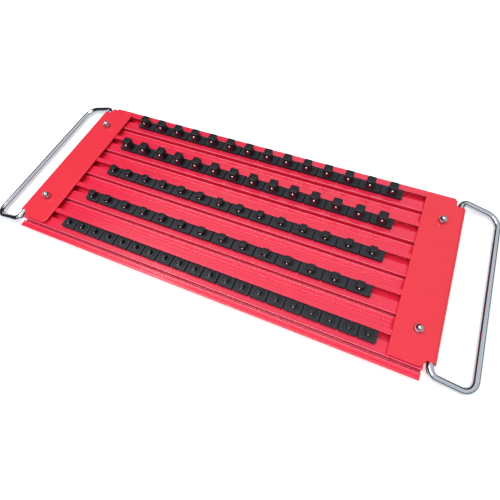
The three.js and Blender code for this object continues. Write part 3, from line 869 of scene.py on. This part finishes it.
class TRAY_OT_dome_nuts(bpy.types.Operator):
    """Turns the four dome nuts"""
    bl_idname = "tray.dome_nuts"
    bl_label = "Dome nuts"

    def execute(self, context):
        for end in ENDS:
            for side in ("rear", "front"):
                node = f"dome_nut_{end}_{side}"
                low, high = box_of(node)
                flats = high[1] - low[1]
                place = [(low[0] + high[0]) / 2, (low[1] + high[1]) / 2, low[2]]
                nut = dome_nut_surface(flats, flats / 2, high[2] - low[2]) + place
                add_piece(f"acorn_{end}_{side}", [nut], "chrome", "frame", "nut_chrome", node, angle=30)
        return {"FINISHED"}


class TRAY_OT_hardware(bpy.types.Operator):
    """Plates the cross bars and screws under the rails"""
    bl_idname = "tray.hardware"
    bl_label = "Bars and screws"

    def execute(self, context):
        for end in ENDS:
            dress_node(f"clamp_bar_{end}", "zinc")
            for side in ("rear", "front"):
                dress_node(f"screw_{end}_{side}", "zinc")
        return {"FINISHED"}


def post_surface(square, low, top):
    """Drive post: a square block whose upright edges and top edge are rounded by shares of the square."""
    sizes = settings("tray_clip")
    return block_surface(square / 2, square / 2, low, top, square * sizes.post_corner,
                         square * sizes.post_crown, base=HIDDEN_EDGE)


def ball_surface(diameter):
    """Ball: circles of the sine of the angle from one pole, closed at both poles."""
    angle = arc(-90, 90, steps=12)
    return revolved(np.column_stack([np.cos(angle), np.sin(angle)]) * diameter / 2, sides=20)


def collar_surface(diameter, low, top):
    """Ring round a post: a disc whose top edge is rounded by a quarter circle."""
    edge = (top - low) / 3
    angle = arc(0, 90, steps=4)
    rim = [(diameter / 2 - edge + edge * math.cos(a), top - edge + edge * math.sin(a)) for a in angle]
    return revolved([(0, low), (diameter / 2, low), *rim, (0, top)], sides=32)


def block_section(sizes, front, rear, top):
    """Section of a clip block across the rail, with the slope behind its top."""
    low = top - sizes.height
    slope_foot = (rear, top - sizes.slope_height)
    slope_top = (rear - sizes.slope_width, top)
    return filleted([(front, low), (rear, low), slope_foot, slope_top, (front, top)], sizes.edge)


class TRAY_OT_clips(bpy.types.Operator):
    """Moulds the runs of clips, and the smaller sizes' fixed posts with their rings and balls"""
    bl_idname = "tray.clips"
    bl_label = "Clips"

    def execute(self, context):
        for row in range(1, ROW_COUNT + 1):
            for end in ENDS:
                self.mould_run(settings("tray_clip"), row, end)
        return {"FINISHED"}

    @staticmethod
    def mould_run(sizes, row, end):
        """One run: its blocks on a common base with a foot in the slot, and any fixed posts."""
        square, offset, ball, ball_height = ROW_POSTS[row]
        pitch = sizes.pitch_narrow if row == ROW_COUNT else sizes.pitch_wide
        middle = rail_middle(row)
        node = f"row_{row}_clips_{end}"
        body = f"row_{row}_{end}"
        low, high = box_of(node)
        front, rear = low[1], middle + BLOCK_REAR
        top = TRACK + sizes.height
        block = block_section(sizes, front, rear, top)
        centres, widths = run_clips(row, end, pitch)
        grids = [clip_surface((width - sizes.seam) / 2, block, sizes.corner, sizes.edge) + [x, 0, 0]
                 for x, width in zip(centres, widths)]
        base = [(front + sizes.corner, TRACK), (rear, TRACK), (rear, top - sizes.seam_depth),
                (front + sizes.corner, top - sizes.seam_depth)]
        foot = [(middle + x, z) for x, z in FOOT_SECTION]
        for section, inset in ((base, BASE_INSET), (foot, FOOT_INSET)):
            outline = filleted(section, HIDDEN_EDGE)
            bar = clip_surface((high[0] - low[0]) / 2 - inset, outline, HIDDEN_EDGE, HIDDEN_EDGE, steps=2)
            grids.append(bar + [(low[0] + high[0]) / 2, 0, 0])
        add_piece(f"moulding_{row}_{end}", grids, "clip_black", body, "clip_plastic", node, angle=35)
        if high[2] > top + sizes.collar_height:
            places = [[x, middle + offset, 0] for x in centres]
            post = post_surface(square, top, high[2])
            ring = collar_surface(sizes.collar, top - COLLAR_SUNK, top + sizes.collar_height)
            grids = [shape + place for shape in (post, ring) for place in places]
            add_piece(f"posts_{row}_{end}", grids, "post_black", body, "post_plastic", angle=35)
            sphere = ball_surface(ball) + [0, BALL_SUNK * ball - square / 2, top + ball_height]
            balls = [sphere + place for place in places]
            add_piece(f"balls_{row}_{end}", balls, "bearing_steel", body, "nut_chrome", angle=60)


class TRAY_OT_posts(bpy.types.Operator):
    """Moulds the turning half inch posts and sets their steel balls"""
    bl_idname = "tray.posts"
    bl_label = "Half inch posts"

    def execute(self, context):
        for node in sorted(name for name in frame["nodes"] if "_post_" in name):
            self.mould_post(node)
        return {"FINISHED"}

    @staticmethod
    def mould_post(node):
        """One post on its hinge: the square, the journal under it, and the ball sunk into its front."""
        square, _, ball, ball_height = ROW_POSTS[int(node.split("_")[1])]
        x, y, top = joint_place(f"{node}_turn")
        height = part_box(node)[1][2]
        post = post_surface(square, top + POST_GAP, height) + [x, y, 0]
        journal = revolved(JOURNAL, sides=20) + [x, y, top]
        sphere = ball_surface(ball) + [x, y - square / 2 + BALL_SUNK * ball, top + ball_height]
        add_piece(node.replace("post", "drive"), [post], "post_black", node, "post_plastic", node, angle=50)
        add_piece(node.replace("post", "spindle"), [journal], "post_black", node, "post_plastic", angle=40)
        add_piece(node.replace("post", "ball"), [sphere], "bearing_steel", node, "nut_chrome", angle=60)


# Stage

def floor_material():
    """White floor: paint that keeps the tray's shadow, with a glow that camera, gloss and glass alone see."""
    material, tree, shader = new_material("studio_floor")
    grain = object_noise(tree, scale=4)
    vary_colour(tree, shader, FLOOR_WHITE, spread=0.004, factor=grain)
    shader.inputs["Roughness"].default_value = 0.9
    shader.inputs["Specular IOR Level"].default_value = 0.0
    shader.inputs["Emission Color"].default_value = (1, 1, 1, 1)
    glow = math_node(tree, "MULTIPLY", seen_directly(tree), FLOOR_GLOW)
    tree.links.new(glow, shader.inputs["Emission Strength"])
    return material


def seen_directly(tree):
    """One for rays from the camera and for those that gloss or glass turns, and nothing for the others."""
    path = tree.nodes.new("ShaderNodeLightPath")
    turned = math_node(tree, "MAXIMUM", path.outputs["Is Glossy Ray"], path.outputs["Is Transmission Ray"])
    return math_node(tree, "MAXIMUM", path.outputs["Is Camera Ray"], turned)


class TRAY_OT_stage(bpy.types.Operator):
    """Lays the floor and sets the world, the lamp, the screen and the camera"""
    bl_idname = "tray.stage"
    bl_label = "Stage"

    def execute(self, context):
        sizes = settings("tray_stage")
        scene = context.scene
        scene.view_settings.view_transform = "Standard"
        self.lay_floor()
        self.light_world(scene, sizes)
        self.hang_lamp(scene, sizes)
        self.stand_screen()
        self.set_camera(scene, sizes)
        return {"FINISHED"}

    @staticmethod
    def lay_floor():
        """Flat grid of squares one metre wide."""
        side = np.linspace(-FLOOR_HALF, FLOOR_HALF, 2 * FLOOR_HALF + 1)
        x, y = np.meshgrid(side, side)
        grid = np.stack([x, y, np.full(x.shape, FLOOR_LEVEL)], axis=-1)
        floor = mesh_from_grids("studio_floor", [grid], False, floor_material())

    @staticmethod
    def light_world(scene, sizes):
        """Even light for the tray, and white for what is seen directly."""
        world = bpy.data.worlds.new("studio")
        scene.world = world
        world.use_nodes = True
        tree = world.node_tree
        tree.nodes.clear()
        output = tree.nodes.new("ShaderNodeOutputWorld")
        mix = tree.nodes.new("ShaderNodeMixShader")
        tree.links.new(seen_directly(tree), mix.inputs["Fac"])
        for socket, strength in zip(mix.inputs[1:], (sizes.world_light, 1.0)):
            background = tree.nodes.new("ShaderNodeBackground")
            background.inputs["Color"].default_value = (1, 1, 1, 1)
            background.inputs["Strength"].default_value = strength
            tree.links.new(background.outputs[0], socket)
        tree.links.new(mix.outputs[0], output.inputs["Surface"])

    @staticmethod
    def hang_lamp(scene, sizes):
        light = bpy.data.lights.new("softbox", "AREA")
        light.shape = "RECTANGLE"
        light.size, light.size_y = LAMP_SIZE
        light.energy = sizes.lamp_light
        lamp = bpy.data.objects.new("softbox", light)
        scene.collection.objects.link(lamp)
        aim = Vector(LAMP_PLACE).to_track_quat("Z", "Y").to_matrix().to_4x4()
        lamp.matrix_world = Matrix.Translation(LAMP_PLACE) @ aim

    @staticmethod
    def stand_screen():
        """Dark screen round the tray, seen by nothing but gloss, as the unlit room behind a studio's lamps.
        Its top rises and falls with the cosine of the heading."""
        material, tree, shader = new_material("studio_screen")
        vary_colour(tree, shader, SCREEN_GREY, spread=0.1, factor=object_noise(tree, scale=2))
        shader.inputs["Roughness"].default_value = 1.0
        wall = revolved([(SCREEN_RADIUS, 0), (SCREEN_RADIUS, 1)], sides=48)
        towards = np.cos(np.arctan2(wall[..., 1], wall[..., 0]) - math.radians(SCREEN_HEADING))
        wall[..., 2] *= SCREEN_HEIGHT + SCREEN_RISE * towards
        screen = mesh_from_grids("studio_screen", [wall], True, material)
        screen.visible_camera = False
        screen.visible_diffuse = False
        screen.visible_shadow = False

    @staticmethod
    def set_camera(scene, sizes):
        """Camera at the photograph's place, found from the rows of posts."""
        camera = bpy.data.cameras.new("camera")
        camera.sensor_width = 36
        camera.lens = sizes.lens
        camera.clip_start = 0.01
        holder = bpy.data.objects.new("camera", camera)
        scene.collection.objects.link(holder)
        turn = Matrix(CAMERA_AXES).transposed().to_4x4()
        holder.matrix_world = Matrix.Translation(CAMERA_PLACE) @ turn
        scene.camera = holder


OPERATORS = (TRAY_OT_stage, TRAY_OT_rails, TRAY_OT_end_plates, TRAY_OT_handles, TRAY_OT_dome_nuts,
             TRAY_OT_hardware, TRAY_OT_clips, TRAY_OT_posts)


class TRAY_PT_panel(bpy.types.Panel):
    """Lists the tray's pieces and their sizes"""
    bl_idname = "TRAY_PT_panel"
    bl_label = "Socket Tray"
    bl_space_type = "VIEW_3D"
    bl_region_type = "UI"
    bl_category = "Socket Tray"

    def draw(self, context):
        for name, group in SETTINGS.items():
            box = self.layout.box()
            for key in group.__annotations__:
                box.prop(settings(name), key)
        for operator in OPERATORS:
            self.layout.operator(operator.bl_idname)


CLASSES = (*SETTINGS.values(), *OPERATORS, TRAY_PT_panel)


def register():
    for item in CLASSES:
        bpy.utils.register_class(item)
    for name, group in SETTINGS.items():
        setattr(bpy.types.Scene, name, bpy.props.PointerProperty(type=group))


def unregister():
    for name in SETTINGS:
        delattr(bpy.types.Scene, name)
    for item in reversed(CLASSES):
        bpy.utils.unregister_class(item)


def main():
    register()
    bpy.ops.tray.stage()
    bpy.ops.tray.rails()
    bpy.ops.tray.end_plates()
    bpy.ops.tray.handles()
    bpy.ops.tray.dome_nuts()
    bpy.ops.tray.hardware()
    bpy.ops.tray.clips()
    bpy.ops.tray.posts()


if __name__ == "__main__":
    main()
